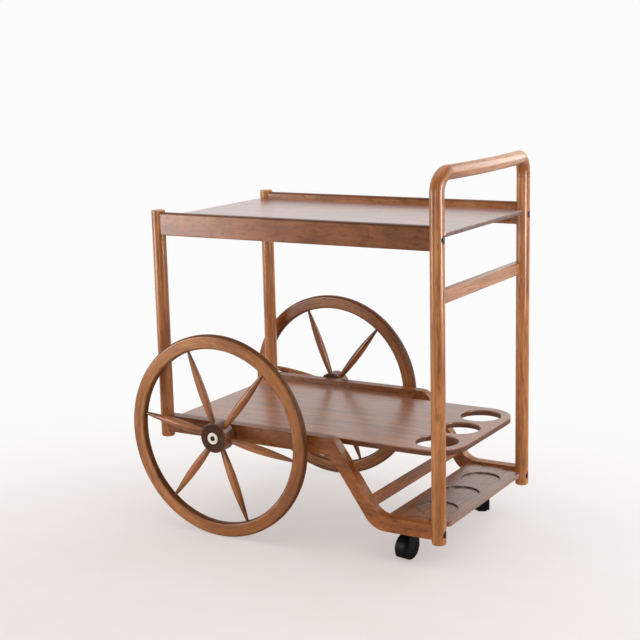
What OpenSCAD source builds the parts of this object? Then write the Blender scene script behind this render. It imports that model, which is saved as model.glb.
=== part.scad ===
// Two-wheeled serving cart in stained hardwood.
// Origin on the floor under the middle of the cart, +Z up, +X towards the handle.
// The near side is -Y and the far side is +Y.

/* [Posts] */
// Distance between the centres of the front and rear posts
post_span = 673.5; // [640:0.5:710]
// Distance between the centres of the near and far posts
frame_w = 436; // [410:1:470]
// Diameter of the posts and of the handle bar
post_d = 30; // [28:0.5:34]
// How far the front posts hang below the stringers
front_post_drop = 13.5; // [8:0.5:20]
// How far the rear posts hang below the stringers
rear_post_drop = 11.5; // [8:0.5:20]
// How far the front posts rise above the aprons
front_post_rise = 5; // [3:0.5:12]
// Rounding at the lower ends of the posts
post_foot_round = 4; // [2:0.5:6]
// Rounding at the upper ends of the front posts
post_top_round = 2; // [1:0.5:5]

/* [Handle] */
// Height of the top of the handle bar above the tray's surface
handle_rise = 131; // [115:1:170]
// How far the middle of the bar bows out past the posts
handle_bow = 15; // [10:0.5:25]
// Radius of the bar's centreline at its two corners
handle_corner_r = 38; // [34:1:50]
// Length of the straight stub under each corner
handle_stub = 8; // [4:1:20]
// Rounding of the arrises where the handle's pieces meet
handle_seam_round = 0.5; // [0.25:0.25:1.5]
// Diameter of the dowels in the handle's joints
handle_dowel_d = 12; // [10:0.5:13]
// Length of those dowels
handle_dowel_l = 40; // [30:1:42]

/* [Tray] */
// Height of the tray's surface above the floor
tray_h = 688; // [650:1:710]
// Thickness of the tray panel
tray_t = 9; // [6:0.5:12]
// How far the tray panel reaches past the rear post centres
tray_reach = 8; // [4:0.5:12]
// How far the tray panel reaches past the front post centres
tray_front_reach = 15.5; // [8:0.5:18]
// Rounding of the tray panel's corners
tray_corner_r = 10; // [6:1:14]
// Height of the aprons
apron_h = 49; // [40:1:60]
// Thickness of the aprons
apron_t = 19; // [16:0.5:22]
// How far the aprons stand above the tray's surface
apron_lip = 15; // [8:0.5:20]
// Rounding of the aprons' long edges
apron_edge_r = 2.5; // [1:0.5:4]
// Depth of the grooves that the panels are housed in
groove_depth = 5; // [3:0.5:6]
// How far the tongues in those grooves lie under the panels' surfaces
tongue_drop = 2.5; // [1.5:0.5:4]

/* [Stringers] */
// Thickness of the stringers
stringer_t = 24; // [20:0.5:28]
// Height of their upper stretch
upper_h = 37.3; // [32:0.1:44]
// Height of their lower stretch
lower_h = 31; // [28:0.1:38]
// Width of their sloping stretch
slope_w = 28.5; // [26:0.5:40]
// Angle of the sloping stretch to the floor
slope_angle = 55.5; // [50:0.5:60]
// Distance from the foot of the slope to the rear post's centre
slope_foot = 133; // [128:1:145]
// Radius of the convex bend at the top of the slope
top_bend_r = 36; // [25:1:60]
// Radius of the hollow bend under the top of the slope
under_bend_r = 56; // [45:1:75]
// Radius of the hollow bend at the foot of the slope
foot_bend_r = 46; // [30:1:80]
// Radius of the convex bend under the foot of the slope
sole_bend_r = 55; // [35:1:65]

/* [Lower shelf] */
// Thickness of the lower shelf
shelf_t = 12.5; // [10:0.5:15]
// How far the shelf's surface lies below the top of the stringers
shelf_sink = 13.2; // [10:0.1:16]
// Length of the part that is housed between the stringers
shelf_housed_l = 406; // [380:1:420]
// Width of the part that reaches out between the rear posts
shelf_neck_w = 360; // [345:1:366]
// How far it reaches past the rear post centres
shelf_reach = 12; // [0:0.5:14]
// Rounding of its two free corners
shelf_corner_r = 72; // [30:1:80]
// Diameter of the three bottle holes
bottle_hole_d = 90; // [80:1:98]
// Distance between the centres of neighbouring bottle holes
bottle_pitch = 111.5; // [106:0.5:115]
// Distance from the bottle holes' centre line to the rear post centres
bottle_setback = 55; // [51:0.5:60]
// Size of the chamfer round the bottle holes
hole_chamfer = 1.5; // [0.5:0.5:3]
// Distance from the bottle holes to the joint between the shelf and its end boards
bottle_board_rim = 14; // [8:1:20]

/* [Bottle shelf] */
// Thickness of the bottle shelf
bottle_shelf_t = 9.5; // [8:0.5:11]
// How far its surface lies below the top of the stringers' lower stretch
bottle_shelf_sink = 5.3; // [4:0.1:8]
// Distance from its front edge to the rear post centres
bottle_shelf_front = 126.5; // [118:0.5:135]
// How far it reaches past the rear post centres
bottle_shelf_reach = 9; // [5:0.5:12]
// Distance from the end of its housed part to the rear post centres
bottle_neck_start = 36; // [28:1:44]
// Width of the part that passes between the rear posts
bottle_neck_w = 372; // [350:1:376]
// Rounding of its free corners
bottle_corner_r = 8; // [4:1:12]
// Diameter of its round recesses
recess_d = 86; // [78:1:92]
// Depth of its round recesses
recess_depth = 3; // [2:0.5:4]

/* [Cross rails] */
// Height of the rear cross rail's upper edge above the floor
rear_rail_top = 571; // [500:1:600]
// Height of the rear cross rail
rear_rail_h = 27.5; // [22:0.5:34]
// Thickness of the rear cross rail
rear_rail_t = 17; // [14:0.5:20]
// Width of the lower cross rail, measured along the slope
lower_rail_w = 25; // [22:0.5:30]
// Thickness of the lower cross rail
lower_rail_t = 16; // [12:0.5:20]
// How far the lower cross rail lies under the slope's upper face
lower_rail_sink = 2.5; // [1:0.5:5]
// Height of the lower cross rail's upper edge above the stringers' lower stretch
lower_rail_rise = 37.5; // [34:0.5:60]
// Rounding of the rails' long edges
rail_edge_r = 2; // [1:0.5:4]
// How far the rear cross rail's ends stop short of the post centres
rear_rail_short = 4; // [3:0.5:8]
// Diameter of the dowels in the ends of the rails
rail_dowel_d = 8; // [6:0.5:9]
// Length of those dowels
rail_dowel_l = 30; // [20:1:36]

/* [Wheels] */
// Diameter of the big wheels
wheel_d = 450; // [420:1:480]
// Width of the rim from its inner to its outer edge
rim_w = 31; // [26:0.5:36]
// Thickness of the rim
rim_t = 18; // [16:0.5:22]
// Rounding of the rim's edges
rim_edge_r = 5.5; // [3:0.5:7]
// How far the axle lies below the middle of the stringers' upper stretch
axle_drop = 5.2; // [2:0.1:7]
// Distance from the axle to the rear post centres
axle_to_rear = 512.5; // [480:0.5:540]
// Number of spokes
spoke_count = 6; // [5:1:8]
// Angle of the first spoke above the floor's direction
spoke_turn = 51; // [0:1:60]
// Diameter of the spokes at the hub
spoke_hub_d = 11.5; // [10:0.5:13]
// Diameter of the spokes at their thickest
spoke_bulge_d = 18.5; // [15:0.5:21]
// Diameter of the spokes at the rim
spoke_rim_d = 6; // [5:0.5:8]
// Place of the thickest point, as a share of the way from the hub to the rim
spoke_bulge_at = 0.42; // [0.3:0.01:0.6]
// Depth of the spokes' tenons in the rim
rim_tenon_l = 14; // [10:0.5:18]
// Depth of the spokes' tenons in the hub
hub_tenon_l = 12; // [8:0.5:15]

/* [Hubs] */
// Diameter of the hubs
hub_d = 66; // [60:0.5:74]
// Length of the hubs
hub_l = 36.5; // [32:0.5:42]
// Rounding of the hubs' edges
hub_edge_r = 2.5; // [1.5:0.5:4]
// Diameter of the pale flange on each hub's outer face
flange_d = 25.5; // [24:0.5:34]
// Thickness of that flange
flange_t = 2.5; // [2:0.25:4]
// Outer diameter of the bush in the hub
bush_d = 14; // [12:0.5:16]
// Diameter of the axle screws
axle_d = 8; // [6:0.5:9]
// Diameter of the axle screws' heads
axle_head_d = 11; // [10:0.25:12]
// Height of those heads
axle_head_t = 3.5; // [3:0.25:5]
// Diameter of the spacers behind the hubs
spacer_d = 40; // [30:1:50]
// Thickness of those spacers
spacer_t = 5.3; // [4:0.1:8]
// Outer diameter of the threaded inserts for the axle screws
axle_insert_d = 13; // [12:0.5:14]
// Length of those inserts
axle_insert_l = 14; // [10:0.5:15]

/* [Castors] */
// Diameter of the castor wheels
castor_wheel_d = 50; // [46:1:54]
// Width of the castor wheels
castor_wheel_w = 23; // [20:0.5:28]
// Distance from the swivel axis to the castor wheel's axle
castor_trail = 25; // [22:0.5:28]
// Distance between the two swivel axes
castor_spacing = 338; // [300:1:346]
// Distance from the swivel axes to the rear post centres
castor_setback = 78.5; // [70:0.5:84]
// Direction in which the near castor trails, from +X
near_castor_yaw = -100; // [-180:1:180]
// Direction in which the far castor trails, from +X
far_castor_yaw = -64; // [-180:1:180]
// Thickness of the hood's cheeks
cheek_t = 4; // [3:0.5:6]
// Thickness of the hood over the wheel's tread
hood_t = 4; // [3:0.5:6]
// Clearance between the castor wheel's tread and the hood
hood_gap = 1.25; // [1:0.25:3]
// Clearance between the castor wheel's sides and the cheeks
side_gap = 1; // [0.5:0.25:2]
// Rounding of the hood's outer edges
hood_edge_r = 8; // [4:0.5:9]
// Height of the hood's lip above the floor at the back of the castor
hood_lip = 9; // [7:0.5:14]
// Radius of the cheeks below the castor's axle pin
cheek_r = 12; // [9:0.5:16]
// How far the hood reaches in front of the castor's axle pin
hood_front = 17; // [15:0.5:19]
// Height of the swivel boss above the hood's crown
boss_rise = 4.75; // [2:0.25:6]
// Outer diameter of the hood's swivel boss
boss_d = 18; // [16:0.5:22]
// Height of the swivel boss
boss_h = 18; // [16:0.5:20]
// Diameter of the recess round each end of the axle pin
pin_recess_d = 10; // [8:0.5:12]
// Depth of that recess
pin_recess = 1.5; // [1:0.25:2.5]
// Rounding of the castor wheel's edges
castor_edge_r = 4; // [2:0.5:6]
// Diameter of the hollow in each side of the castor wheel
castor_hollow_d = 36; // [30:1:40]
// Depth of that hollow
castor_hollow = 2.5; // [1:0.25:4]
// Outer diameter of the raised race between the hood and the plate
race_d = 20; // [16:0.5:22]
// Height of the raised race between the hood and the plate
race_t = 2; // [1.5:0.25:3]
// Diameter of the pintle
pintle_d = 8; // [6:0.5:9]
// Length of the pintle below the race
pintle_l = 14; // [12:0.5:15]
// Diameter of the castor's axle pin
pin_d = 6; // [5:0.5:8]
// Side length of the square mounting plate
plate_w = 40; // [38:1:46]
// Thickness of the mounting plate
plate_t = 2.5; // [2:0.25:4]
// Distance between neighbouring screws in the plate
plate_hole_pitch = 30; // [28:1:32]
// Width of the batten that the castors are screwed to
batten_w = 46; // [44:1:52]

/* [Fasteners] */
// Diameter of the frame bolts
bolt_d = 6; // [5:0.5:7]
// Diameter of the frame bolts' flat heads
bolt_head_d = 15; // [13:0.5:16]
// Thickness of those heads
bolt_head_t = 3; // [2:0.25:4]
// Depth of the counterbores that the heads lie in
counterbore_depth = 6; // [4:0.5:8]
// How far the bolts reach into the boards
bolt_grip = 22; // [18:1:30]
// Outer diameter of the threaded inserts
insert_d = 9; // [8.5:0.5:10]
// Length of the threaded inserts
insert_l = 18; // [14:1:20]
// How far the apron bolts lie below the middle of the aprons
apron_bolt_drop = 2; // [0:0.5:4]
// How far the lower stringer bolts lie below the middle of that stretch
lower_bolt_drop = 4.5; // [2:0.5:6]
// Diameter of the castor screws
screw_d = 3.5; // [3:0.25:4]
// Diameter of the castor screws' heads
screw_head_d = 7; // [6:0.25:8]
// Height of the castor screws' heads
screw_head_t = 2; // [1.5:0.25:2.5]
// Length of the castor screws
screw_l = 14; // [10:0.5:16]
// Width across the flats of the sockets in the bolts and axle screws
socket_w = 5; // [4:0.5:6]
// Depth of those sockets
socket_depth = 2; // [1.5:0.25:2.5]
// Diameter of the counterbores in the posts
counterbore_d = 16.5; // [16:0.25:18]

/* [Clearances] */
// Radial clearance of glued and screwed fits
fit_gap = 0.1; // [0.05:0.01:0.2]
// Radial clearance of the turning fits
turn_gap = 0.06; // [0.03:0.01:0.09]
// Clearance between faces that turn past each other
face_gap = 0.3; // [0.2:0.05:0.5]
// Gap between the panels and the posts that they pass
notch_gap = 1.5; // [1:0.25:2.5]

/* [Hidden] */
fine = 96;
small = 48;
arc_fine = 720;
overlap = 1;
hair = 0.05;
spoke_steps = 9;
near = -1;
far = 1;

wood = "#a0683f";
dark_wood = "#6b4a3a";
panel_wood = "#9a7460";
iron = "#3a3634";
brass = "#b08d4f";
ivory = "#ece6d2";
black = "#2b2b2d";

post_r = post_d / 2;
post_y = frame_w / 2;
wheel_r = wheel_d / 2;

overall_l = wheel_r + axle_to_rear + handle_bow + post_r;
axle_x = wheel_r - overall_l / 2;
rear_x = axle_x + axle_to_rear;
front_x = rear_x - post_span;

castor_r = castor_wheel_d / 2;
hood_r = castor_r + hood_gap + hood_t;
hood_w = castor_wheel_w + 2 * (side_gap + cheek_t);
hood_top = castor_r + hood_r + boss_rise;
race_low = hood_top + face_gap;
plate_low = race_low + race_t;

stringer_in = post_y - stringer_t / 2;
stringer_out = post_y + stringer_t / 2;
upper_mid = wheel_r + axle_drop;
upper_top = upper_mid + upper_h / 2;
upper_low = upper_mid - upper_h / 2;
lower_low = plate_low + plate_t;
lower_top = lower_low + lower_h;
lower_mid = lower_low + lower_h / 2;
foot_x = rear_x - slope_foot;

apron_top = tray_h + apron_lip;
apron_low = apron_top - apron_h;
apron_mid = apron_top - apron_h / 2;
apron_in = post_y - apron_t / 2;

front_post_low = upper_low - front_post_drop;
front_post_top = apron_top + front_post_rise;
rear_post_low = lower_low - rear_post_drop;
handle_h = tray_h + handle_rise;
bar_z = handle_h - post_r;
seam_z = bar_z - handle_corner_r - handle_stub;
bow_angle = 2 * atan(handle_bow / (post_y + handle_corner_r));
bow_r = (post_y - handle_corner_r * cos(bow_angle)) / sin(bow_angle);

shelf_top = upper_top - shelf_sink;
shelf_low = shelf_top - shelf_t;
shelf_step_x = front_x + shelf_housed_l;
shelf_end_x = rear_x + shelf_reach;
bottle_x = rear_x - bottle_setback;
shelf_joint_x = bottle_x - bottle_hole_d / 2 - bottle_board_rim;
bottle_top = lower_top - bottle_shelf_sink;
bottle_low = bottle_top - bottle_shelf_t;
bottle_front_x = rear_x - bottle_shelf_front;
bottle_step_x = rear_x - bottle_neck_start;
castor_x = rear_x - castor_setback;
castor_y = castor_spacing / 2;

hub_r = hub_d / 2;
hub_in = stringer_out + spacer_t + face_gap;
wheel_y = hub_in + hub_l / 2;
rim_in_r = wheel_r - rim_w;
head_out = hub_l / 2 + flange_t - face_gap;
head_seat = head_out - axle_head_t;
axle_tip = hub_l / 2 + spacer_t + face_gap + axle_insert_l - overlap;

bolt_seat = post_r - counterbore_depth;
insert_start = post_r + 2 * fit_gap;
apron_bolt_z = apron_mid - apron_bolt_drop;
lower_bolt_z = lower_mid - lower_bolt_drop;
front_bolts = [apron_bolt_z, upper_mid];
rear_bolts = [apron_bolt_z, lower_bolt_z];
dowel_pitch = 2 * rail_dowel_d - 2;
rear_rail_mid = rear_rail_top - rear_rail_h / 2;
rear_rail_x = rear_x - rear_rail_t / 2;

// Small helpers

// Places its children on one side of the cart, drawn as they are on the near side
module on_side(side) {
    mirror([0, side == far ? 1 : 0, 0]) children();
}

// A rectangle with rounded corners, from the origin
module rounded_square(size, r) {
    translate([r, 0]) square([size[0] - 2 * r, size[1]]);
    translate([0, r]) square([size[0], size[1] - 2 * r]);
    for (x = [r, size[0] - r], y = [r, size[1] - r])
        translate([x, y]) circle(r, $fn = small);
}

// A turned bar on the Z axis with its two ends rounded
module turned_bar(r, h, low_r, high_r) {
    rotate_extrude($fn = fine) {
        square([r - low_r, low_r + overlap]);
        translate([0, low_r]) square([r, h - low_r - high_r]);
        translate([0, h - high_r - overlap]) square([r - high_r, high_r + overlap]);
        translate([r - low_r, low_r]) intersection() {
            circle(low_r, $fn = small);
            translate([-overlap / 2, -low_r]) square(low_r + overlap);
        }
        translate([r - high_r, h - high_r]) intersection() {
            circle(high_r, $fn = small);
            translate([-overlap / 2, -overlap]) square(high_r + overlap);
        }
    }
}

// A cylinder lying along X, from the origin
module bar_x(d, h) {
    rotate([0, 90, 0]) cylinder(d = d, h = h, $fn = small);
}

// A cylinder lying along Y, centred on the origin
module bar_y(d, h) {
    rotate([90, 0, 0]) cylinder(d = d, h = h, center = true, $fn = small);
}

// A board along X with rounded long edges, from the origin
module board_x(l, t, h, r) {
    rotate([90, 0, 90]) linear_extrude(l) rounded_square([t, h], r);
}

// Places its children where bolts of the given heights pass one post, facing its board
module at_bolts(x, y, direction, heights) {
    for (z = heights)
        translate([x, y, z]) rotate([0, 0, direction < 0 ? 180 : 0]) children();
}

// Posts

module post_space(x, y, gap) {
    translate([x, y, 0]) cylinder(r = post_r + gap, h = handle_h, $fn = fine);
}

module post_bolt_bore() {
    translate([-post_d, 0, 0]) bar_x(bolt_d + 2 * fit_gap, 2 * post_d);
    translate([-post_d, 0, 0]) bar_x(counterbore_d, post_d - bolt_seat);
}

module front_post(side) {
    y = side * post_y;
    color(wood) difference() {
        translate([front_x, y, front_post_low])
            turned_bar(post_r, front_post_top - front_post_low, post_foot_round, post_top_round);
        at_bolts(front_x, y, 1, front_bolts) post_bolt_bore();
    }
}

module rear_post(side) {
    y = side * post_y;
    color(wood) difference() {
        translate([rear_x, y, rear_post_low])
            turned_bar(post_r, seam_z - rear_post_low, post_foot_round, handle_seam_round);
        at_bolts(rear_x, y, -1, rear_bolts) post_bolt_bore();
        at_rail_dowels(side) bar_y(rail_dowel_d + 2 * fit_gap, rail_dowel_l + 2 * fit_gap);
        on_side(side) at_post_joint() handle_dowel(fit_gap);
    }
}

// Handle

// Places its children at the joint between a post and the handle's corner, facing up
module at_post_joint() {
    translate([rear_x, near * post_y, seam_z]) children();
}

// Places its children at the joint between a corner and the bar, facing along the bar
module at_bar_joint() {
    translate([rear_x + handle_corner_r * sin(bow_angle),
               near * (post_y - handle_corner_r * cos(bow_angle)), bar_z])
        rotate([-90, 0, -bow_angle]) children();
}

module handle_dowel(gap) {
    cylinder(d = handle_dowel_d + 2 * gap, h = handle_dowel_l + 2 * gap, center = true, $fn = small);
}

// A quarter bend from the top of a post to the bar, on a short straight stub
module handle_corner(side) {
    color(wood) on_side(side) difference() {
        union() {
            at_post_joint() cylinder(r = post_r - hair, h = handle_stub + overlap, $fn = fine);
            translate([rear_x + handle_corner_r * sin(bow_angle),
                       near * (post_y - handle_corner_r * cos(bow_angle)),
                       bar_z - handle_corner_r])
                rotate([90, 0, -90 - bow_angle])
                    rotate_extrude(angle = 90, $fn = fine)
                        translate([handle_corner_r, 0]) circle(post_r, $fn = fine);
        }
        at_post_joint() handle_dowel(fit_gap);
        at_bar_joint() handle_dowel(fit_gap);
    }
}

module handle_bar() {
    color(wood) difference() {
        translate([rear_x + handle_bow - bow_r, 0, bar_z])
            rotate([0, 0, -bow_angle])
                rotate_extrude(angle = 2 * bow_angle, $fn = arc_fine)
                    translate([bow_r, 0]) circle(post_r, $fn = small);
        for (side = [near, far]) on_side(side) at_bar_joint() handle_dowel(fit_gap);
    }
}

module handle_dowels() {
    color(wood) for (side = [near, far]) on_side(side) {
        at_post_joint() handle_dowel(0);
        at_bar_joint() handle_dowel(0);
    }
}

// Tray

// The socket for a threaded insert and the bolt's tip, in the end of a board
module board_bolt_bore() {
    translate([bolt_seat, 0, 0])
        bar_x(insert_d + 2 * fit_gap, insert_start + insert_l + fit_gap - bolt_seat);
    bar_x(bolt_d + 2 * fit_gap, post_r + bolt_grip + overlap);
}

module apron(side) {
    color(wood) on_side(side) difference() {
        translate([front_x, near * (post_y + apron_t / 2), apron_low])
            board_x(post_span, apron_t, apron_h, apron_edge_r);
        translate([front_x, near * (apron_in + groove_depth), tray_h - tray_t - fit_gap])
            cube([post_span, groove_depth + overlap, tray_t - tongue_drop + 2 * fit_gap]);
        for (x = [front_x, rear_x]) post_space(x, near * post_y, fit_gap);
        at_bolts(front_x, near * post_y, 1, [apron_bolt_z]) board_bolt_bore();
        at_bolts(rear_x, near * post_y, -1, [apron_bolt_z]) board_bolt_bore();
    }
}

// A panel's outline from x over a length, reaching to the same distance on both sides
module between_grooves(x, l, reach) {
    translate([x, -reach]) square([l, 2 * reach]);
}

module tray_panel() {
    housed_y = apron_in + groove_depth - fit_gap;
    free_y = post_y - post_r - notch_gap;
    housed_x = post_r + notch_gap;
    color(panel_wood) translate([0, 0, tray_h - tray_t]) {
        linear_extrude(tray_t) {
            translate([front_x - tray_front_reach, -free_y])
                rounded_square([post_span + tray_front_reach + tray_reach, 2 * free_y], tray_corner_r);
            between_grooves(front_x + housed_x, post_span - 2 * housed_x, apron_in - fit_gap);
        }
        linear_extrude(tray_t - tongue_drop)
            between_grooves(front_x + housed_x, post_span - 2 * housed_x, housed_y);
    }
}

// Stringers

// Where the upper face of the sloping stretch is at a height
function slope_x(z) = foot_x - (z - lower_top) / tan(slope_angle);

// Where its lower face is at a height
function under_x(z) = slope_x(z) - slope_w / sin(slope_angle);

function unit(v) = v / norm(v);

// The sliver between a corner at b and the arc that rounds it, from the edges to a and to c
module corner_sliver(a, b, c, r) {
    u = unit(a - b);
    v = unit(c - b);
    half = acos(u * v) / 2;
    reach = r / tan(half);
    centre = b + unit(u + v) * r / sin(half);
    grow = (r + overlap) / r;
    translate(centre) difference() {
        polygon([for (p = [b, b + u * reach, centre, b + v * reach]) (p - centre) * grow]);
        circle(r, $fn = fine);
    }
}

module stringer_outline() {
    top = [slope_x(upper_top), upper_top];
    foot = [slope_x(lower_top), lower_top];
    sole = [under_x(lower_low), lower_low];
    under = [under_x(upper_low), upper_low];
    ends = [[front_x, upper_top], [rear_x, lower_top], [rear_x, lower_low], [front_x, upper_low]];
    difference() {
        union() {
            polygon([ends[0], top, foot, ends[1], ends[2], sole, under, ends[3]]);
            corner_sliver(top, foot, ends[1], foot_bend_r);
            corner_sliver(sole, under, ends[3], under_bend_r);
        }
        corner_sliver(ends[0], top, foot, top_bend_r);
        corner_sliver(ends[2], sole, under, sole_bend_r);
    }
}

module stringer(side) {
    housed = stringer_in + groove_depth;
    color(wood) on_side(side) difference() {
        translate([0, near * stringer_in, 0])
            rotate([90, 0, 0]) linear_extrude(stringer_t) stringer_outline();
        for (x = [front_x, rear_x]) post_space(x, near * post_y, fit_gap);
        translate([front_x, near * housed, shelf_low - fit_gap])
            cube([shelf_housed_l + fit_gap, groove_depth + overlap,
                  shelf_t - tongue_drop + 2 * fit_gap]);
        translate([bottle_front_x - fit_gap, near * housed, bottle_low - fit_gap])
            cube([bottle_step_x - bottle_front_x + 2 * fit_gap, groove_depth + overlap,
                  bottle_shelf_t + 2 * fit_gap]);
        at_bolts(front_x, near * post_y, 1, [upper_mid]) board_bolt_bore();
        at_bolts(rear_x, near * post_y, -1, [lower_bolt_z]) board_bolt_bore();
        translate([axle_x, near * stringer_out, wheel_r])
            bar_y(axle_insert_d + 2 * fit_gap, 2 * (axle_insert_l + fit_gap));
        at_lower_dowels(near) bar_y(rail_dowel_d + 2 * fit_gap, rail_dowel_l + 2 * fit_gap);
    }
}

// Lower shelf

module lower_shelf() {
    housed_y = stringer_in + groove_depth - fit_gap;
    color(panel_wood) difference() {
        translate([0, 0, shelf_low]) {
            linear_extrude(shelf_t) {
                between_grooves(front_x, shelf_housed_l, stringer_in - fit_gap);
                translate([shelf_step_x - overlap, -shelf_neck_w / 2])
                    square([shelf_joint_x - shelf_step_x + overlap, shelf_neck_w]);
            }
            linear_extrude(shelf_t - tongue_drop)
                between_grooves(front_x, shelf_housed_l, housed_y);
        }
        for (side = [near, far]) post_space(front_x, side * post_y, notch_gap);
    }
}

// One of the three boards across the shelf's end, each with a bottle hole; place is -1, 0 or 1
module bottle_board(place) {
    w = place == 0 ? bottle_pitch : (shelf_neck_w - bottle_pitch) / 2;
    l = shelf_end_x - shelf_joint_x;
    mid_y = place * (bottle_pitch + w) / 2;
    color(panel_wood) difference() {
        translate([shelf_joint_x, 0, shelf_low]) linear_extrude(shelf_t) intersection() {
            translate([-shelf_corner_r, -shelf_neck_w / 2])
                rounded_square([l + shelf_corner_r, shelf_neck_w], shelf_corner_r);
            translate([0, mid_y - w / 2]) square([l, w]);
        }
        translate([bottle_x, place * bottle_pitch, 0]) bottle_hole();
    }
}

module bottle_hole() {
    r = bottle_hole_d / 2;
    translate([0, 0, shelf_low - overlap]) cylinder(r = r, h = shelf_t + 2 * overlap, $fn = fine);
    translate([0, 0, shelf_top - hole_chamfer])
        cylinder(r1 = r, r2 = r + hole_chamfer + overlap, h = hole_chamfer + overlap, $fn = fine);
    translate([0, 0, shelf_low - overlap])
        cylinder(r1 = r + hole_chamfer + overlap, r2 = r, h = hole_chamfer + overlap, $fn = fine);
}

// Bottle shelf

module bottle_shelf() {
    housed_y = stringer_in + groove_depth - fit_gap;
    housed_l = bottle_step_x - bottle_front_x;
    neck_l = bottle_neck_start + bottle_shelf_reach + bottle_corner_r + overlap;
    color(panel_wood) difference() {
        translate([0, 0, bottle_low]) linear_extrude(bottle_shelf_t) {
            between_grooves(bottle_front_x, housed_l, housed_y);
            translate([rear_x + bottle_shelf_reach - neck_l, -bottle_neck_w / 2])
                rounded_square([neck_l, bottle_neck_w], bottle_corner_r);
        }
        for (i = [-1:1])
            translate([bottle_x, i * bottle_pitch, bottle_top - recess_depth])
                cylinder(d = recess_d, h = recess_depth + overlap, $fn = fine);
    }
}

// Cross rails

module at_rail_dowels(side) {
    for (z = [-1, 1])
        translate([rear_rail_x, side * (post_y - rear_rail_short - post_r / 2),
                   rear_rail_mid + z * dowel_pitch / 2])
            children();
}

module rear_cross_rail() {
    l = 2 * (post_y - rear_rail_short);
    color(wood) difference() {
        translate([rear_x - rear_rail_t, l / 2, rear_rail_top - rear_rail_h])
            rotate([90, 0, 0]) linear_extrude(l)
                rounded_square([rear_rail_t, rear_rail_h], rail_edge_r);
        for (side = [near, far]) {
            post_space(rear_x, side * post_y, fit_gap);
            at_rail_dowels(side) bar_y(rail_dowel_d + 2 * fit_gap, rail_dowel_l + 2 * fit_gap);
        }
    }
}

module rear_rail_dowels() {
    color(wood) for (side = [near, far]) at_rail_dowels(side) bar_y(rail_dowel_d, rail_dowel_l);
}

// Places its children in the plane of the sloping stretch: X down the slope, Y out of it
module on_slope() {
    z = lower_top + lower_rail_rise;
    translate([slope_x(z), 0, z]) rotate([90, slope_angle, 0])
        translate([0, -lower_rail_sink, 0]) children();
}

module at_lower_dowels(side) {
    for (i = [-1, 1])
        on_slope()
            translate([lower_rail_w / 2 + i * dowel_pitch / 2, -lower_rail_t / 2,
                       -side * stringer_in])
                rotate([90, 0, 0]) children();
}

module lower_cross_rail() {
    color(wood) difference() {
        on_slope() translate([0, -lower_rail_t, -stringer_in])
            linear_extrude(2 * stringer_in) rounded_square([lower_rail_w, lower_rail_t], rail_edge_r);
        for (side = [near, far])
            at_lower_dowels(side) bar_y(rail_dowel_d + 2 * fit_gap, rail_dowel_l + 2 * fit_gap);
    }
}

module lower_rail_dowels() {
    color(wood) for (side = [near, far]) at_lower_dowels(side) bar_y(rail_dowel_d, rail_dowel_l);
}

// Frame fasteners

module frame_bolt() {
    difference() {
        union() {
            translate([-bolt_seat, 0, 0]) bar_x(bolt_d, bolt_seat + post_r + bolt_grip);
            translate([-bolt_seat - bolt_head_t, 0, 0]) bar_x(bolt_head_d, bolt_head_t);
        }
        translate([-bolt_seat - bolt_head_t - overlap, 0, 0])
            rotate([0, 90, 0])
                cylinder(d = socket_w / cos(30), h = socket_depth + overlap, $fn = 6);
    }
}

module frame_bolts() {
    color(iron) for (y = [-post_y, post_y]) {
        at_bolts(front_x, y, 1, front_bolts) frame_bolt();
        at_bolts(rear_x, y, -1, rear_bolts) frame_bolt();
    }
}

module thread_insert() {
    translate([insert_start, 0, 0]) difference() {
        bar_x(insert_d, insert_l);
        translate([-overlap, 0, 0]) bar_x(bolt_d + 2 * fit_gap, insert_l + 2 * overlap);
    }
}

module thread_inserts() {
    color(brass) for (y = [-post_y, post_y]) {
        at_bolts(front_x, y, 1, front_bolts) thread_insert();
        at_bolts(rear_x, y, -1, rear_bolts) thread_insert();
    }
}

// Big wheels, drawn in the wheel's own plane with Z pointing out of the cart

module on_wheel(side) {
    on_side(side) translate([axle_x, near * wheel_y, wheel_r]) rotate([90, 0, 0]) children();
}

module at_spokes() {
    for (i = [0:spoke_count - 1]) rotate([0, 0, spoke_turn + i * 360 / spoke_count]) children();
}

module rim(side) {
    color(wood) on_wheel(side) difference() {
        rotate_extrude($fn = 2 * fine)
            translate([rim_in_r, -rim_t / 2]) rounded_square([rim_w, rim_t], rim_edge_r);
        at_spokes() translate([rim_in_r - overlap, 0, 0])
            bar_x(spoke_rim_d + 2 * fit_gap, rim_tenon_l + fit_gap + overlap);
    }
}

// Radius of a spoke at a share of the way from the hub to the rim
function spoke_r(at) = at < spoke_bulge_at
    ? (spoke_hub_d + (spoke_bulge_d - spoke_hub_d) * sin(90 * at / spoke_bulge_at)) / 2
    : (spoke_rim_d + (spoke_bulge_d - spoke_rim_d) * sin(90 * (1 - at) / (1 - spoke_bulge_at))) / 2;

module spoke() {
    low = hub_r - hub_tenon_l;
    high = rim_in_r + rim_tenon_l;
    shares = concat(
        [for (i = [0:spoke_steps - 1]) spoke_bulge_at * i / spoke_steps],
        [for (i = [0:spoke_steps]) spoke_bulge_at + (1 - spoke_bulge_at) * i / spoke_steps]
    );
    rotate([0, 90, 0]) rotate_extrude($fn = small) polygon(concat(
        [[0, low], [spoke_hub_d / 2, low]],
        [for (at = shares) [spoke_r(at), hub_r + at * (rim_in_r - hub_r)]],
        [[spoke_rim_d / 2, high], [0, high]]
    ));
}

module spokes(side) {
    color(wood) on_wheel(side) at_spokes() spoke();
}

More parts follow.
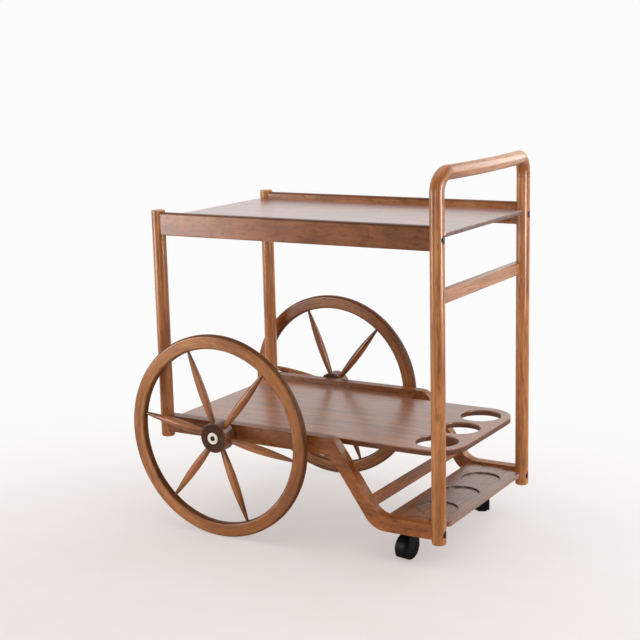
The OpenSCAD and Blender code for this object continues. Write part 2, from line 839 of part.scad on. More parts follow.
module hub(side) {
    color(dark_wood) on_wheel(side) difference() {
        translate([0, 0, -hub_l / 2]) turned_bar(hub_r, hub_l, hub_edge_r, hub_edge_r);
        cylinder(d = bush_d + 2 * fit_gap, h = hub_l + 2 * overlap, center = true, $fn = small);
        at_spokes() translate([hub_r - hub_tenon_l - fit_gap, 0, 0])
            bar_x(spoke_hub_d + 2 * fit_gap, hub_tenon_l + overlap);
    }
}

module hub_bush(side) {
    seat = head_seat - face_gap;
    color(ivory) on_wheel(side) difference() {
        union() {
            translate([0, 0, -hub_l / 2]) cylinder(d = bush_d, h = hub_l + overlap, $fn = small);
            translate([0, 0, hub_l / 2]) cylinder(d = flange_d, h = flange_t, $fn = small);
        }
        cylinder(d = axle_d + 2 * turn_gap, h = 2 * hub_l, center = true, $fn = small);
        translate([0, 0, seat])
            cylinder(d = axle_head_d + 2 * face_gap, h = hub_l, $fn = small);
    }
}

module axle_screw(side) {
    color(iron) on_wheel(side) difference() {
        union() {
            translate([0, 0, -axle_tip]) cylinder(d = axle_d, h = axle_tip + head_seat, $fn = small);
            translate([0, 0, head_seat]) cylinder(d = axle_head_d, h = axle_head_t, $fn = small);
        }
        translate([0, 0, head_out - socket_depth])
            cylinder(d = socket_w / cos(30), h = socket_depth + overlap, $fn = 6);
    }
}

module axle_spacer(side) {
    color(iron) on_wheel(side)
        translate([0, 0, -hub_l / 2 - face_gap - spacer_t]) difference() {
            cylinder(d = spacer_d, h = spacer_t, $fn = small);
            translate([0, 0, -overlap])
                cylinder(d = axle_d + 2 * fit_gap, h = spacer_t + 2 * overlap, $fn = small);
        }
}

module axle_insert(side) {
    color(brass) on_wheel(side)
        translate([0, 0, -hub_l / 2 - face_gap - spacer_t - axle_insert_l]) difference() {
            cylinder(d = axle_insert_d, h = axle_insert_l, $fn = small);
            translate([0, 0, -overlap])
                cylinder(d = axle_d + 2 * fit_gap, h = axle_insert_l + 2 * overlap, $fn = small);
        }
}

// Castors, drawn with the swivel axis on Z and the wheel trailing along +X

module on_castor(side) {
    translate([castor_x, side * castor_y, 0])
        rotate([0, 0, side == near ? near_castor_yaw : far_castor_yaw]) children();
}

module at_pin() {
    translate([castor_trail, 0, castor_r]) rotate([90, 0, 0]) children();
}

module at_screws(side) {
    for (x = [-1, 1], y = [-1, 1])
        translate([castor_x + x * plate_hole_pitch / 2,
                   side * castor_y + y * plate_hole_pitch / 2, plate_low])
            children();
}

module castor_batten() {
    color(wood) difference() {
        translate([castor_x - batten_w / 2, -stringer_in, lower_low])
            cube([batten_w, 2 * stringer_in, bottle_low - lower_low]);
        for (side = [near, far])
            at_screws(side) cylinder(d = screw_d + 2 * fit_gap, h = screw_l + fit_gap, $fn = small);
    }
}

module castor_plate(side) {
    color(iron) difference() {
        union() {
            translate([castor_x - plate_w / 2, side * castor_y - plate_w / 2, plate_low])
                cube([plate_w, plate_w, plate_t]);
            translate([castor_x, side * castor_y, 0]) {
                translate([0, 0, race_low]) cylinder(d = race_d, h = race_t + overlap, $fn = small);
                translate([0, 0, race_low - pintle_l])
                    cylinder(d = pintle_d, h = pintle_l + overlap, $fn = small);
            }
        }
        at_screws(side) translate([0, 0, -overlap])
            cylinder(d = screw_d + 2 * fit_gap, h = plate_t + 2 * overlap, $fn = small);
    }
}

module castor_screws(side) {
    color(iron) at_screws(side) {
        cylinder(d = screw_d, h = screw_l, $fn = small);
        translate([0, 0, -screw_head_t]) cylinder(d = screw_head_d, h = screw_head_t, $fn = small);
    }
}

// The hood seen from the side, with the axle pin at the origin: its crown, back and cheeks
module hood_outline() {
    circle(cheek_r, $fn = fine);
    intersection() {
        circle(hood_r + overlap, $fn = fine);
        union() {
            translate([-hood_front, 0]) square(2 * hood_r);
            translate([cheek_r, hood_lip - castor_r]) square(2 * hood_r);
        }
    }
}

module castor_hood(side) {
    cavity_r = castor_r + hood_gap;
    cavity_w = castor_wheel_w + 2 * side_gap;
    color(black) on_castor(side) difference() {
        union() {
            at_pin() intersection() {
                translate([0, 0, -hood_w / 2]) turned_bar(hood_r, hood_w, hood_edge_r, hood_edge_r);
                translate([0, 0, -hood_w]) linear_extrude(2 * hood_w) hood_outline();
            }
            translate([0, 0, hood_top - boss_h]) cylinder(d = boss_d, h = boss_h, $fn = small);
            translate([0, -boss_d / 2, hood_top - boss_h])
                cube([castor_trail / 2, boss_d, boss_h]);
        }
        at_pin() {
            cylinder(r = cavity_r, h = cavity_w, center = true, $fn = fine);
            translate([0, -cavity_r, 0]) cube([2 * cavity_r, 2 * cavity_r, cavity_w], center = true);
            cylinder(d = pin_d + 2 * fit_gap, h = 2 * hood_w, center = true, $fn = small);
            for (z = [-1, 1]) translate([0, 0, z * hood_w / 2])
                cylinder(d = pin_recess_d, h = 2 * pin_recess, center = true, $fn = small);
        }
        translate([0, 0, race_low - pintle_l - 2 * face_gap])
            cylinder(d = pintle_d + 2 * turn_gap, h = pintle_l + overlap, $fn = small);
    }
}

module castor_axle(side) {
    color(iron) on_castor(side) at_pin()
        cylinder(d = pin_d, h = hood_w - 2 * pin_recess, center = true, $fn = small);
}

module castor_wheel(side) {
    color(black) on_castor(side) at_pin() difference() {
        translate([0, 0, -castor_wheel_w / 2])
            turned_bar(castor_r, castor_wheel_w, castor_edge_r, castor_edge_r);
        cylinder(d = pin_d + 2 * turn_gap, h = 2 * castor_wheel_w, center = true, $fn = small);
        for (z = [-1, 1]) translate([0, 0, z * castor_wheel_w / 2])
            cylinder(d = castor_hollow_d, h = 2 * castor_hollow, center = true, $fn = small);
    }
}

front_post(near);  // near_front_post
front_post(far);  // far_front_post
rear_post(near);  // near_rear_post
rear_post(far);  // far_rear_post
handle_bar();
handle_corner(near);  // near_handle_corner
handle_corner(far);  // far_handle_corner
handle_dowels();
apron(near);  // near_apron
apron(far);  // far_apron
tray_panel();
rear_cross_rail();
rear_rail_dowels();
stringer(near);  // near_stringer
stringer(far);  // far_stringer
lower_shelf();
bottle_board(near);  // near_bottle_board
bottle_board(0);  // middle_bottle_board
bottle_board(far);  // far_bottle_board
bottle_shelf();
lower_cross_rail();
lower_rail_dowels();
castor_batten();
frame_bolts();
thread_inserts();
axle_screw(near);  // near_axle_screw
axle_screw(far);  // far_axle_screw
axle_spacer(near);  // near_axle_spacer
axle_spacer(far);  // far_axle_spacer
axle_insert(near);  // near_axle_insert
axle_insert(far);  // far_axle_insert
rim(near);  // near_rim
rim(far);  // far_rim
spokes(near);  // near_spokes
spokes(far);  // far_spokes
hub(near);  // near_hub
hub(far);  // far_hub
hub_bush(near);  // near_hub_bush
hub_bush(far);  // far_hub_bush
castor_plate(near);  // near_castor_plate
castor_plate(far);  // far_castor_plate
castor_screws(near);  // near_castor_screws
castor_screws(far);  // far_castor_screws
castor_hood(near);  // near_castor_hood
castor_hood(far);  // far_castor_hood
castor_axle(near);  // near_castor_axle
castor_axle(far);  // far_castor_axle
castor_wheel(near);  // near_castor_wheel
castor_wheel(far);  // far_castor_wheel
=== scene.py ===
import math

import bmesh
import bpy
from mathutils import Matrix, Vector


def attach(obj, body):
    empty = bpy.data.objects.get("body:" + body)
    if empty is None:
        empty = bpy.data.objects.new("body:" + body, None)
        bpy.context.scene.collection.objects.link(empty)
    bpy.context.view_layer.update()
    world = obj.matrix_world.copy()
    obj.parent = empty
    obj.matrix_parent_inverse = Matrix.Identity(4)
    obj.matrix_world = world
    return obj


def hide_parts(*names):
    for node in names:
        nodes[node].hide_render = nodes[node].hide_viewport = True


# A two-wheeled wooden serving cart. Metres, +Z up, +X towards the handle, near side at -Y.
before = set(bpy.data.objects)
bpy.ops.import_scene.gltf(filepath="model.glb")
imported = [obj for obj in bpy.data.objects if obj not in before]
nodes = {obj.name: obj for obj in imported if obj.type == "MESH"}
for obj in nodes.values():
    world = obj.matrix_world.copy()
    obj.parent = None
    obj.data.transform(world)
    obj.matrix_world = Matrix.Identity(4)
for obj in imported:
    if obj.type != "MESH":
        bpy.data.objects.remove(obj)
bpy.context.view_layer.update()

SIDES = ("near", "far")

# The big wheels
AXLE_X = -0.15875
WHEEL_R = 0.225
RIM_IN_R = 0.194
RIM_MID_R = (RIM_IN_R + WHEEL_R) / 2
RIM_HALF_W = (WHEEL_R - RIM_IN_R) / 2
SPOKE_MID_R = 0.1
SPOKE_PITCH = math.pi / 3
# Midway between two spokes, as an angle round the axle
SPOKE_GAP_ANGLE = math.radians(21)
# The rim's scarf joint: its angle at the inner wall, and how far it turns for each metre outwards
RIM_JOINT_ANGLE = 2.6
RIM_JOINT_SLANT = 6.0

# The handle's corners, as its grain turns round them: the middle of the bend and its radius
CORNER_Y = 0.175
CORNER_Z = 0.766
CORNER_R = 0.038

# The shelves and their places for bottles
BOTTLE_X = 0.29875
BOTTLE_PITCH = 0.1115
RECESS_R = 0.043
SHELF_JOINT_X = 0.23975
SHELF = ("lower_shelf", "near_bottle_board", "middle_bottle_board", "far_bottle_board")

# Points closer than this are one point
WELD = 0.00001

# Rounds on the arrises of each kind of piece
TRAY_ARRIS = 0.002
APRON_ARRIS = 0.002
STRINGER_ARRIS = 0.004
SHELF_ARRIS = 0.0025
BOTTLE_SHELF_ARRIS = 0.0012
RAIL_ARRIS = 0.001
BUSH_ARRIS = 0.0006
ARRIS_STEPS = 3
# Edges that turn by more than this are sharp
SHARP = math.radians(40)


# Camera: the photograph's view, fitted to the cart's corners and wheels

VIEW_AZIMUTH = math.radians(30.81)
VIEW_ELEVATION = math.radians(11.32)
VIEW_ROLL = math.radians(-1.38)
VIEW_TARGET = Vector((-0.04502, 0, 0.44508))
VIEW_DISTANCE = 3.08435
FOCAL_PIXELS = 1368.34
FRAME_PIXELS = 640
SENSOR_MM = 36
VIEW_DEPTH = 100


def make_camera():
    back = Vector((
        math.sin(VIEW_AZIMUTH) * math.cos(VIEW_ELEVATION),
        -math.cos(VIEW_AZIMUTH) * math.cos(VIEW_ELEVATION),
        math.sin(VIEW_ELEVATION),
    ))
    level = Vector((math.cos(VIEW_AZIMUTH), math.sin(VIEW_AZIMUTH), 0))
    upright = back.cross(level)
    right = math.cos(VIEW_ROLL) * level + math.sin(VIEW_ROLL) * upright
    up = math.cos(VIEW_ROLL) * upright - math.sin(VIEW_ROLL) * level
    data = bpy.data.cameras.new("camera")
    data.sensor_width = SENSOR_MM
    data.lens = FOCAL_PIXELS / FRAME_PIXELS * SENSOR_MM
    data.clip_end = VIEW_DEPTH
    camera = bpy.data.objects.new("camera", data)
    turn = Matrix((right, up, back)).transposed().to_4x4()
    camera.matrix_world = Matrix.Translation(VIEW_TARGET + back * VIEW_DISTANCE) @ turn
    bpy.context.scene.collection.objects.link(camera)
    bpy.context.scene.camera = camera


# Node helpers


def srgb(r, g, b):
    """A colour given as 0 to 255 screen values, as Blender's linear numbers."""
    def linear(c):
        c /= 255
        return c / 12.92 if c <= 0.04045 else ((c + 0.055) / 1.055) ** 2.4
    return linear(r), linear(g), linear(b), 1.0


def put(tree, socket, value):
    """Links a socket to an input, or sets the input's own value."""
    if isinstance(value, bpy.types.NodeSocket):
        tree.links.new(value, socket)
    else:
        socket.default_value = value


def add(tree, kind, inputs=None, **settings):
    """A new node with its settings and inputs; inputs go by name or by place."""
    node = tree.nodes.new(kind)
    for key, value in settings.items():
        setattr(node, key, value)
    for key, value in (inputs or {}).items():
        put(tree, node.inputs[key], value)
    return node


def maths(tree, operation, *values):
    """One step of arithmetic on sockets and numbers."""
    node = add(tree, "ShaderNodeMath", dict(enumerate(values)), operation=operation)
    return node.outputs[0]


def total(tree, *values):
    """The sum of two or more sockets and numbers."""
    result = values[0]
    for value in values[1:]:
        result = maths(tree, "ADD", result, value)
    return result


def away(tree, value, place):
    """How far the value is from a place, on either side."""
    return maths(tree, "ABSOLUTE", maths(tree, "SUBTRACT", value, place))


def length(tree, a, b):
    """The length of a flat vector from its two parts."""
    square = total(tree, maths(tree, "MULTIPLY", a, a), maths(tree, "MULTIPLY", b, b))
    return maths(tree, "SQRT", square)


def vectors(tree, operation, a, b):
    """A step of arithmetic on two vectors, as a node."""
    return add(tree, "ShaderNodeVectorMath", {0: a, 1: b}, operation=operation)


def stretch(tree, vector, x, y, z):
    """The vector with its three parts scaled."""
    return vectors(tree, "MULTIPLY", vector, (x, y, z)).outputs[0]


def noise(tree, vector, detail=2.0, roughness=0.5, distortion=0.0):
    """Cloudy noise, one cloud to each unit of the vector."""
    node = add(tree, "ShaderNodeTexNoise", {
        "Vector": vector, "Scale": 1.0, "Detail": detail,
        "Roughness": roughness, "Distortion": distortion,
    })
    return node.outputs["Fac"]


def spread(tree, value, low, high, to_low=0.0, to_high=1.0):
    """The value's stretch from low to high, brought to another range and held there."""
    node = add(tree, "ShaderNodeMapRange", {
        "Value": value, "From Min": low, "From Max": high, "To Min": to_low, "To Max": to_high,
    })
    return node.outputs[0]


def ramp(tree, value, stops):
    """A colour from the value, between the colours of its stops."""
    node = add(tree, "ShaderNodeValToRGB", {"Fac": value})
    points = node.color_ramp.elements
    while len(points) < len(stops):
        points.new(0.5)
    for point, (place, colour) in zip(points, stops):
        point.position = place
        point.color = colour
    return node.outputs["Color"]


def mix(tree, factor, a, b):
    """Colour a where the factor is 0, and b where it is 1."""
    node = add(tree, "ShaderNodeMix", data_type="RGBA")
    put(tree, node.inputs[0], factor)
    put(tree, node.inputs[6], a)
    put(tree, node.inputs[7], b)
    return node.outputs[2]


def object_place(tree):
    """The surface point's place in metres, which moves with the piece."""
    return add(tree, "ShaderNodeTexCoord").outputs["Object"]


def material(name):
    """A new material with an empty tree and a Principled shader on its output."""
    made = bpy.data.materials.new(name)
    made.use_nodes = True
    tree = made.node_tree
    tree.nodes.clear()
    out = add(tree, "ShaderNodeOutputMaterial")
    shader = add(tree, "ShaderNodeBsdfPrincipled")
    tree.links.new(shader.outputs[0], out.inputs["Surface"])
    return made, tree, shader


def bump(tree, height, strength, distance):
    """The surface's direction where a height tilts it."""
    node = add(tree, "ShaderNodeBump", {"Height": height, "Strength": strength, "Distance": distance})
    return node.outputs[0]


# Grain directions: each gives a vector in metres whose Z runs along the grain


def split(tree):
    """The place's X, Y and Z."""
    return add(tree, "ShaderNodeSeparateXYZ", {0: object_place(tree)}).outputs


def join(tree, x, y, z, seed):
    """The vector from its parts, moved by the seed to another part of the tree's wood."""
    made = add(tree, "ShaderNodeCombineXYZ", {0: x, 1: y, 2: z}).outputs[0]
    return vectors(tree, "ADD", made, (seed * 1.7, seed * 2.3, seed * 3.1)).outputs[0]


def grain_x(tree, seed):
    x, y, z = split(tree)
    return join(tree, y, z, x, seed)


def grain_y(tree, seed):
    x, y, z = split(tree)
    return join(tree, x, z, y, seed)


def grain_z(tree, seed):
    x, y, z = split(tree)
    return join(tree, x, y, z, seed)


def grain_mottled(tree, seed):
    """Along X, but short and broad, as on the stained boards and side members."""
    x, y, z = split(tree)
    return join(tree, maths(tree, "MULTIPLY", y, 0.5), maths(tree, "MULTIPLY", z, 0.45),
                maths(tree, "MULTIPLY", x, 2.2), seed)


def polar(tree):
    """Angle and distance from the wheels' axle, and Y."""
    x, y, z = split(tree)
    x = maths(tree, "SUBTRACT", x, AXLE_X)
    z = maths(tree, "SUBTRACT", z, WHEEL_R)
    return maths(tree, "ARCTAN2", z, x), length(tree, x, z), y


def grain_handle(tree, seed):
    """Up the rear posts, round the handle's corners and along its bar."""
    x, y, z = split(tree)
    out = maths(tree, "SUBTRACT", maths(tree, "ABSOLUTE", y), CORNER_Y)
    up = maths(tree, "SUBTRACT", z, CORNER_Z)
    out_there = maths(tree, "MAXIMUM", out, 0.0)
    up_there = maths(tree, "MAXIMUM", up, 0.0)
    angle = maths(tree, "ARCTAN2", up_there, out_there)
    run = total(tree, maths(tree, "MULTIPLY", angle, CORNER_R), maths(tree, "MINIMUM", up, 0.0))
    run = maths(tree, "SUBTRACT", run, maths(tree, "MINIMUM", out, 0.0))
    middle = CORNER_R * math.pi / 2 + CORNER_Y
    run = maths(tree, "MULTIPLY", maths(tree, "SUBTRACT", run, middle), maths(tree, "SIGN", y))
    return join(tree, x, length(tree, out_there, up_there), run, seed)


def grain_ring(tree, seed):
    """Along the bent rim, from one side of its slanted joint to the other."""
    angle, reach, y = polar(tree)
    slant = maths(tree, "MULTIPLY", maths(tree, "SUBTRACT", reach, RIM_IN_R), RIM_JOINT_SLANT)
    angle = maths(tree, "SUBTRACT", angle, slant)
    turn = maths(tree, "WRAP", angle, 2 * math.pi - RIM_JOINT_ANGLE, -RIM_JOINT_ANGLE)
    return join(tree, reach, y, maths(tree, "MULTIPLY", turn, RIM_MID_R), seed)


def grain_spokes(tree, seed):
    """Along each spoke, with every spoke its own piece of wood."""
    angle, reach, y = polar(tree)
    turn = maths(tree, "DIVIDE", maths(tree, "SUBTRACT", angle, SPOKE_GAP_ANGLE), SPOKE_PITCH)
    part = maths(tree, "FLOOR", turn)
    off = maths(tree, "SUBTRACT", maths(tree, "SUBTRACT", turn, part), 0.5)
    across = maths(tree, "MULTIPLY", maths(tree, "MULTIPLY", off, reach), SPOKE_PITCH)
    # Each spoke's wood lies this much further along the tree
    apart = 0.91
    run = total(tree, reach, maths(tree, "MULTIPLY", part, apart))
    return join(tree, across, y, run, seed)


# Wood


# The darkest colour that the masks mix in, for stain and for painted shade
DEEP = srgb(44, 20, 12)
WARM = (srgb(100, 54, 22), srgb(162, 98, 46), srgb(198, 136, 80))
# Painted light: the far posts take a lighter copy of the near posts' wood, as if lit more
PAINTED_LIT_WARM = (srgb(108, 60, 26), srgb(182, 114, 58), srgb(214, 152, 94))
POSTS = {"near": WARM, "far": PAINTED_LIT_WARM}
RIM = (srgb(88, 44, 16), srgb(154, 92, 42), srgb(190, 128, 72))
SPOKE = (srgb(84, 42, 18), srgb(154, 92, 48), srgb(194, 130, 76))
APRON = (srgb(76, 38, 18), srgb(136, 78, 38), srgb(168, 108, 62))
# Painted light: the far apron takes a lighter copy of the near apron's wood, as if its inner face
# were lit more
PAINTED_LIT_APRON = (srgb(98, 52, 24), srgb(164, 104, 62), srgb(198, 138, 90))
APRONS = {"near": APRON, "far": PAINTED_LIT_APRON}
PANEL = (srgb(80, 42, 24), srgb(146, 86, 48), srgb(172, 112, 72))
TRAY = (srgb(76, 46, 40), srgb(134, 92, 80), srgb(160, 116, 98))
LOW = (srgb(76, 44, 30), srgb(134, 88, 64), srgb(158, 112, 86))
STRINGER = (srgb(82, 40, 14), srgb(146, 82, 34), srgb(180, 112, 58))
HUB = (srgb(66, 34, 18), srgb(110, 66, 40), srgb(148, 96, 62))


def wood_colour(tree, along, tones, figure, flecks):
    """The stained wood's colour, with its clouds and the heights of its fine grain and pores.

    Each noise is stretched by how often it repeats in a metre: twice across the grain, then
    along it."""
    clouds = noise(tree, stretch(tree, along, 14, 14, 4), detail=4, roughness=0.6)
    bands = noise(tree, stretch(tree, along, 60, 60, 1.6), detail=3, roughness=0.55, distortion=0.4)
    streaks = noise(tree, stretch(tree, along, 300, 300, 9), detail=3, roughness=0.6)
    dashes = noise(tree, stretch(tree, along, 260, 260, 30), roughness=0.6)
    hills = noise(tree, stretch(tree, along, 7, 7, 1.1), roughness=0.45)
    rings = maths(tree, "PINGPONG", maths(tree, "MULTIPLY", hills, 26), 1)

    body = total(
        tree,
        maths(tree, "MULTIPLY", spread(tree, clouds, 0.3, 0.7), 0.45),
        maths(tree, "MULTIPLY", spread(tree, bands, 0.3, 0.7), 0.3),
        maths(tree, "MULTIPLY", spread(tree, streaks, 0.25, 0.75), 0.4),
    )
    dark, middle, light = tones
    colour = ramp(tree, body, [(0.1, dark), (0.5, middle), (0.95, light)])
    late = maths(tree, "MULTIPLY", spread(tree, rings, 0.55, 1.0), figure)
    colour = mix(tree, late, colour, dark)
    pits = spread(tree, dashes, 0.54, 0.7)
    colour = mix(tree, maths(tree, "MULTIPLY", pits, 0.6), colour, dark)
    if flecks:
        bars = noise(tree, stretch(tree, along, 24, 24, 230), roughness=0.6)
        patch = noise(tree, stretch(tree, along, 7, 7, 5), detail=1)
        bars = maths(tree, "MULTIPLY", spread(tree, bars, 0.46, 0.68), spread(tree, patch, 0.4, 0.6))
        colour = mix(tree, maths(tree, "MULTIPLY", bars, flecks), colour, dark)
    return colour, clouds, streaks, pits


def wood(name, grain, tones, seed, figure=0.3, flecks=0.0, lacquer=0.5, shine=1.5, gloss=0.1,
         stain=None, dull=None):
    """Stained and lacquered hardwood. tones are its dark, middle and light colours.

    figure is how dark the growth rings are and flecks how dark the rays. lacquer is the coat's
    weight, shine its IOR, and gloss the wood's own specular level. stain and dull make masks that
    deepen the colour, some of them painted shade, as each mask says; dull takes the lacquer's shine
    too."""
    made, tree, shader = material(name)
    along = grain(tree, seed)
    colour, clouds, streaks, pits = wood_colour(tree, along, tones, figure, flecks)
    shader.inputs["Coat Weight"].default_value = lacquer
    if stain:
        colour = mix(tree, stain(tree), colour, DEEP)
    if dull:
        mask = dull(tree)
        colour = mix(tree, mask, colour, DEEP)
        put(tree, shader.inputs["Coat Weight"], spread(tree, mask, 0.0, 0.6, lacquer, 0.0))
    put(tree, shader.inputs["Base Color"], colour)
    put(tree, shader.inputs["Roughness"], spread(tree, clouds, 0.3, 0.7, 0.36, 0.48))
    relief = maths(tree, "SUBTRACT", maths(tree, "MULTIPLY", streaks, 0.5), pits)
    put(tree, shader.inputs["Normal"], bump(tree, relief, 0.12, 0.0003))
    shader.inputs["Specular IOR Level"].default_value = gloss
    shader.inputs["Coat Roughness"].default_value = 0.24
    shader.inputs["Coat IOR"].default_value = shine
    return made


# Masks: where the colour goes deeper, some of them painted shade, as each says. Two places give each
# mask's soft edge.


HUB_FACE_R = (0.0305, 0.0325)
# The rims' painted shade, from none to full towards the edges of their faces
RIM_SIDE_OFF = (RIM_HALF_W - 0.0045, RIM_HALF_W - 0.001)
SPOKE_END_OFF = (0.03, 0.085)
RECESS_LINE_OFF = (0.0012, 0.003)
# The near apron's painted shade along X, from none to full
REAR_SHADE_X = (0.0, 0.3)
# The wheels' painted shadow on the side members, from none to full up Z
WHEEL_SHADOW_Z = (0.17, 0.23)
PANEL_EDGE_DROP = (0.0035, 0.001)
BOARD_EDGE_DROP = (0.0045, 0.0015)


def hub_face(tree):
    """A hub's flat end, where the end grain took up more stain."""
    angle, reach, y = polar(tree)
    return spread(tree, reach, *HUB_FACE_R, to_low=0.7, to_high=0.0)


def painted_rim_shade(tree):
    """Painted shade on the rims' inner wall and tread, fading in near the edges of their faces."""
    angle, reach, y = polar(tree)
    return spread(tree, away(tree, reach, RIM_MID_R), *RIM_SIDE_OFF, to_high=0.65)


def spoke_ends(tree):
    """The spokes' thin ends, at the rim and at the hub."""
    angle, reach, y = polar(tree)
    return spread(tree, away(tree, reach, SPOKE_MID_R), *SPOKE_END_OFF, to_high=0.5)


def recess_edge(tree):
    """A line round each of the bottle shelf's recesses."""
    x, y, z = split(tree)
    place = maths(tree, "ROUND", maths(tree, "DIVIDE", y, BOTTLE_PITCH))
    across = maths(tree, "SUBTRACT", y, maths(tree, "MULTIPLY", place, BOTTLE_PITCH))
    from_bottle = length(tree, across, maths(tree, "SUBTRACT", x, BOTTLE_X))
    off = away(tree, from_bottle, RECESS_R)
    return spread(tree, off, *RECESS_LINE_OFF, to_low=0.65, to_high=0.0)


def below(top, depth):
    """The edges and the underside of a panel whose upper face is at the height top."""
    low, high = (top - drop for drop in PANEL_EDGE_DROP)

    def mask(tree):
        x, y, z = split(tree)
        return spread(tree, z, low, high, to_low=depth, to_high=0.0)
    return mask


def upper_edge(top):
    """The narrow upper edge of a board whose top is at the height top."""
    low, high = (top - drop for drop in BOARD_EDGE_DROP)

    def mask(tree):
        x, y, z = split(tree)
        return spread(tree, z, low, high, to_high=0.7)
    return mask


def painted_rear_shade(tree):
    """Painted shade: the near apron gets darker towards the handle, where it faces the dim side of
    the room.
    """
    x, y, z = split(tree)
    return spread(tree, x, *REAR_SHADE_X, to_high=0.4)


def painted_wheel_shadow(tree):
    """Painted shadow: the side members are darker beside the lower shelf, where the wheels shade
    them, than on their way down.
    """
    x, y, z = split(tree)
    return spread(tree, z, *WHEEL_SHADOW_Z, to_high=0.35)


# Painted shade for each apron; only the near one has it
APRON_PAINTED_SHADE = {"near": painted_rear_shade, "far": None}


def top_of(name):
    """The height of a CAD node's highest point."""
    return max(v.co.z for v in nodes[name].data.vertices)


# Metal and plastic


STEEL = srgb(46, 42, 41)
BOLT_STEEL = srgb(40, 37, 37)
BRASS = srgb(176, 140, 76)
IVORY = srgb(226, 221, 204)
IVORY_WORN = srgb(200, 190, 168)
HOOD = srgb(12, 12, 13)
HOOD_WORN = srgb(30, 29, 31)
TREAD = srgb(20, 20, 21)
TREAD_WORN = srgb(40, 39, 40)


def metal(name, colour):
    """Plated steel or brass, faintly mottled."""
    made, tree, shader = material(name)
    spots = noise(tree, stretch(tree, object_place(tree), 420, 420, 420), detail=3)
    bright = tuple(c * 1.6 for c in colour[:3]) + (1,)
    put(tree, shader.inputs["Base Color"], mix(tree, spread(tree, spots, 0.35, 0.7), colour, bright))
    put(tree, shader.inputs["Roughness"], spread(tree, spots, 0.3, 0.7, 0.35, 0.5))
    put(tree, shader.inputs["Normal"], bump(tree, spots, 0.06, 0.0002))
    shader.inputs["Metallic"].default_value = 0.85
    return made


def plastic(name, colour, worn, roughness, gloss=0.5):
    """Moulded plastic or rubber with a fine grain and dusty patches."""
    made, tree, shader = material(name)
    place = object_place(tree)
    fine = noise(tree, stretch(tree, place, 1500, 1500, 1500))
    dust = noise(tree, stretch(tree, place, 60, 60, 60), detail=4, roughness=0.65)
    put(tree, shader.inputs["Base Color"], mix(tree, spread(tree, dust, 0.45, 0.8), colour, worn))
    put(tree, shader.inputs["Roughness"], spread(tree, dust, 0.3, 0.8, roughness, roughness + 0.2))
    put(tree, shader.inputs["Normal"], bump(tree, fine, 0.1, 0.0002))
    shader.inputs["Specular IOR Level"].default_value = gloss
    return made


# Pieces


def joined_shelf(made):
    """The lower shelf and the boards of its end as one piece, so that no joint shows."""
    seams = (-BOTTLE_PITCH / 2, BOTTLE_PITCH / 2)
    whole = bmesh.new()
    for name in SHELF:
        whole.from_mesh(nodes[name].data)
    for seam in seams:
        bmesh.ops.bisect_plane(
            whole, geom=whole.verts[:] + whole.edges[:] + whole.faces[:], dist=WELD,
            plane_co=(0, seam, 0), plane_no=(0, 1, 0),
        )
    bmesh.ops.remove_doubles(whole, verts=whole.verts[:], dist=WELD)

    def in_joint(face):
        places = [v.co for v in face.verts]
        if all(abs(v.x - SHELF_JOINT_X) < WELD for v in places):
            return True
        return any(
            all(abs(v.y - seam) < WELD and v.x > SHELF_JOINT_X - WELD for v in places)
            for seam in seams
        )

    joint = [face for face in whole.faces if in_joint(face)]
    bmesh.ops.delete(whole, geom=joint, context="FACES")
    mesh = bpy.data.meshes.new("shelf")
    whole.to_mesh(mesh)
    whole.free()
    mesh.materials.append(made)
    piece = bpy.data.objects.new("shelf", mesh)
    bpy.context.scene.collection.objects.link(piece)
    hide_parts(*SHELF)
    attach(piece, "frame")
    return piece


def round_arris(piece, width):
    """A small round on a piece's sharp arrises."""
    weld = piece.modifiers.new("weld", "WELD")
    weld.merge_threshold = WELD
    bevel = piece.modifiers.new("arris", "BEVEL")
    bevel.width = width
    bevel.segments = ARRIS_STEPS
    bevel.limit_method = "ANGLE"
    bevel.angle_limit = SHARP
    bevel.harden_normals = True


def finish_node(name, made, edge=0.0):
    """Gives a CAD node its material and, where its arrises are sharp, a small round on them."""
    piece = nodes[name]
    piece.data.materials.clear()
    piece.data.materials.append(made)
    if edge:
        round_arris(piece, edge)


def finish_wood(name, grain, tones, seed, edge=0.0, **looks):
    """Gives a CAD node its own wood. Pieces with one seed are cut from one run of wood."""
    finish_node(name, wood(name, grain, tones, seed, **looks), edge)


HANDLE_SEED = 3.1


def dress_side(side, seed):
    """The pieces of one side."""
    finish_wood(side + "_front_post", grain_z, POSTS[side], seed)
    finish_wood(side + "_rear_post", grain_handle, POSTS[side], HANDLE_SEED)
    finish_wood(side + "_handle_corner", grain_handle, WARM, HANDLE_SEED)
    finish_wood(side + "_apron", grain_mottled, APRONS[side], seed, edge=APRON_ARRIS, figure=0.2,
                stain=APRON_PAINTED_SHADE[side], dull=upper_edge(top_of("near_apron")))
    finish_wood(side + "_stringer", grain_mottled, STRINGER, seed, edge=STRINGER_ARRIS,
                figure=0.15, lacquer=0.4, stain=painted_wheel_shadow)
    finish_wood(side + "_rim", grain_ring, RIM, seed, flecks=0.35, dull=painted_rim_shade)
    finish_wood(side + "_spokes", grain_spokes, SPOKE, seed, stain=spoke_ends)
    finish_wood(side + "_hub", grain_y, HUB, seed, dull=hub_face)
    bush = plastic(side + "_bush", IVORY, IVORY_WORN, roughness=0.35)
    finish_node(side + "_hub_bush", bush, edge=BUSH_ARRIS)
    dark = metal(side + "_dark_steel", STEEL)
    for part in ("axle_screw", "axle_spacer", "castor_plate", "castor_screws", "castor_axle"):
        finish_node(side + "_" + part, dark)
    finish_node(side + "_axle_insert", metal(side + "_brass", BRASS))
    hood = plastic(side + "_castor_hood", HOOD, HOOD_WORN, roughness=0.3, gloss=0.08)
    finish_node(side + "_castor_hood", hood)
    tread = plastic(side + "_castor_wheel", TREAD, TREAD_WORN, roughness=0.45, gloss=0.1)
    finish_node(side + "_castor_wheel", tread)


